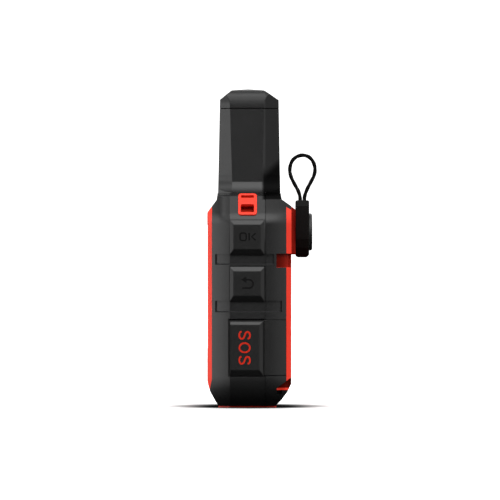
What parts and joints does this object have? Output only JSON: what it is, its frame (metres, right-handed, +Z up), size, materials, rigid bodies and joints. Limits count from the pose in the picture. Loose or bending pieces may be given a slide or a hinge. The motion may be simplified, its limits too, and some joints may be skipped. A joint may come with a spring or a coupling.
{
  "type": "pocket satellite messenger",
  "caption": "Pocket satellite messenger with GPS: faceted case with stub antenna, side keys, hinged key covers, display, back plate with thumb screw and short lanyard loop.",
  "frame": {"origin": "underside of the sole, midway across the case's width and depth", "axes": "+Z up along the antenna; +Y towards the back plate, so the display faces -Y; +X towards the side with the distress key"},
  "size_m": [0.0516, 0.0341, 0.099],
  "materials": {
    "shell_black": "fine-grained black glass-filled plastic, satin",
    "signal_red": "satin orange-red plastic",
    "key_rubber": "soft black silicone rubber, matte",
    "seal_rubber": "black sealing rubber",
    "window_glass": "hardened display glass with a black printed border",
    "clear_plastic": "milky clear light pipe",
    "white_plastic": "off-white technical plastic",
    "display_grey": "reflective display, switched off, grey-green",
    "flex_amber": "amber flexible circuit",
    "board_green": "green solder mask",
    "shield_tin": "tin-plated sheet steel",
    "antenna_ceramic": "fired ceramic with a silvered face",
    "black_plastic": "black moulded plastic",
    "copper": "bare copper strip",
    "battery_wrap": "blue battery sleeve",
    "foam_grey": "closed-cell foam",
    "boot_silicone": "grey silicone",
    "brass": "turned brass",
    "screw_steel": "dark-plated steel",
    "plate_black": "black moulded plastic, fine grain",
    "screw_black": "black oxide on turned steel",
    "cord_black": "black braided cord"
  },
  "bodies": {
    "root": {"front_shell": "shell_black", "rear_shell": "shell_black", "antenna_cap": "shell_black", "cap_gasket": "seal_rubber", "shell_gasket": "seal_rubber", "front_bezel": "signal_red", "rear_frame": "signal_red", "sole": "signal_red", "tether_eyelet": "signal_red", "display_window": "window_glass", "window_tape": "seal_rubber", "status_lens": "clear_plastic", "display_frame": "white_plastic", "display_panel": "display_grey", "light_guide": "white_plastic", "display_flex": "flex_amber", "main_board": "board_green", "modem_can": "shield_tin", "radio_can": "shield_tin", "gps_patch": "antenna_ceramic", "buzzer": "black_plastic", "antenna_core": "white_plastic", "antenna_helix": "copper", "antenna_feed_board": "board_green", "antenna_coax": "black_plastic", "battery_pack": "battery_wrap", "battery_foam": "foam_grey", "right_key_board": "board_green", "right_key_switches": "shield_tin", "right_key_boot": "boot_silicone", "left_key_board": "board_green", "left_key_switches": "shield_tin", "left_key_boot": "boot_silicone", "power_key_switch": "shield_tin", "usb_connector": "shield_tin", "sos_cover_anchor": "key_rubber", "usb_cover_anchor": "key_rubber", "vent_membrane": "white_plastic", "housing_inserts": "brass", "housing_screws": "screw_steel", "spine_insert": "brass", "adapter_plate": "plate_black", "loop_ferrule": "brass", "lanyard_loop": "cord_black"},
    "ok_key": {"ok_key": "key_rubber"},
    "back_key": {"back_key": "key_rubber"},
    "sos_key": {"sos_key": "signal_red"},
    "up_key": {"up_key": "key_rubber"},
    "down_key": {"down_key": "key_rubber"},
    "power_key": {"power_key": "key_rubber"},
    "sos_cover": {"sos_cover": "key_rubber"},
    "usb_cover": {"usb_cover": "key_rubber"},
    "mount_screw": {"mount_screw": "screw_black"},
    "screw_retainer": {"screw_retainer": "screw_steel"}
  },
  "joints": [
    {"name": "ok_key_press", "type": "slide", "parent": "root", "child": "ok_key", "axis": [-1, 0, 0], "range_m": [0, 0.00035], "stiffness_N_per_m": 4500},
    {"name": "back_key_press", "type": "slide", "parent": "root", "child": "back_key", "axis": [-1, 0, 0], "range_m": [0, 0.00035], "stiffness_N_per_m": 4500},
    {"name": "sos_key_press", "type": "slide", "parent": "root", "child": "sos_key", "axis": [-1, 0, 0], "range_m": [0, 0.00035], "stiffness_N_per_m": 4500},
    {"name": "up_key_press", "type": "slide", "parent": "root", "child": "up_key", "axis": [1, 0, 0], "range_m": [0, 0.00035], "stiffness_N_per_m": 4500},
    {"name": "down_key_press", "type": "slide", "parent": "root", "child": "down_key", "axis": [1, 0, 0], "range_m": [0, 0.00035], "stiffness_N_per_m": 4500},
    {"name": "power_key_press", "type": "slide", "parent": "root", "child": "power_key", "axis": [0.7179, 0, -0.6961], "range_m": [0, 0.00035], "stiffness_N_per_m": 4500},
    {"name": "sos_cover_hinge", "type": "hinge", "parent": "root", "child": "sos_cover", "pos_m": [0.02408, 0.0095, 0.0186], "axis": [0, 0, 1], "range_deg": [0, 110]},
    {"name": "usb_cover_hinge", "type": "hinge", "parent": "root", "child": "usb_cover", "pos_m": [-0.02408, 0.0095, 0.0186], "axis": [0, 0, -1], "range_deg": [0, 110]},
    {"name": "screw_travel", "type": "slide", "parent": "root", "child": "screw_retainer", "axis": [0, 1, 0], "range_m": [0, 0.0016]},
    {"name": "screw_turn", "type": "hinge", "parent": "screw_retainer", "child": "mount_screw", "pos_m": [0, 0.0186, 0.05445], "axis": [0, 1, 0], "range_deg": [0, 721]}
  ],
  "couplings": [
    {"joint": "screw_turn", "follows": "screw_travel", "rad_per_m": 7854}
  ]
}
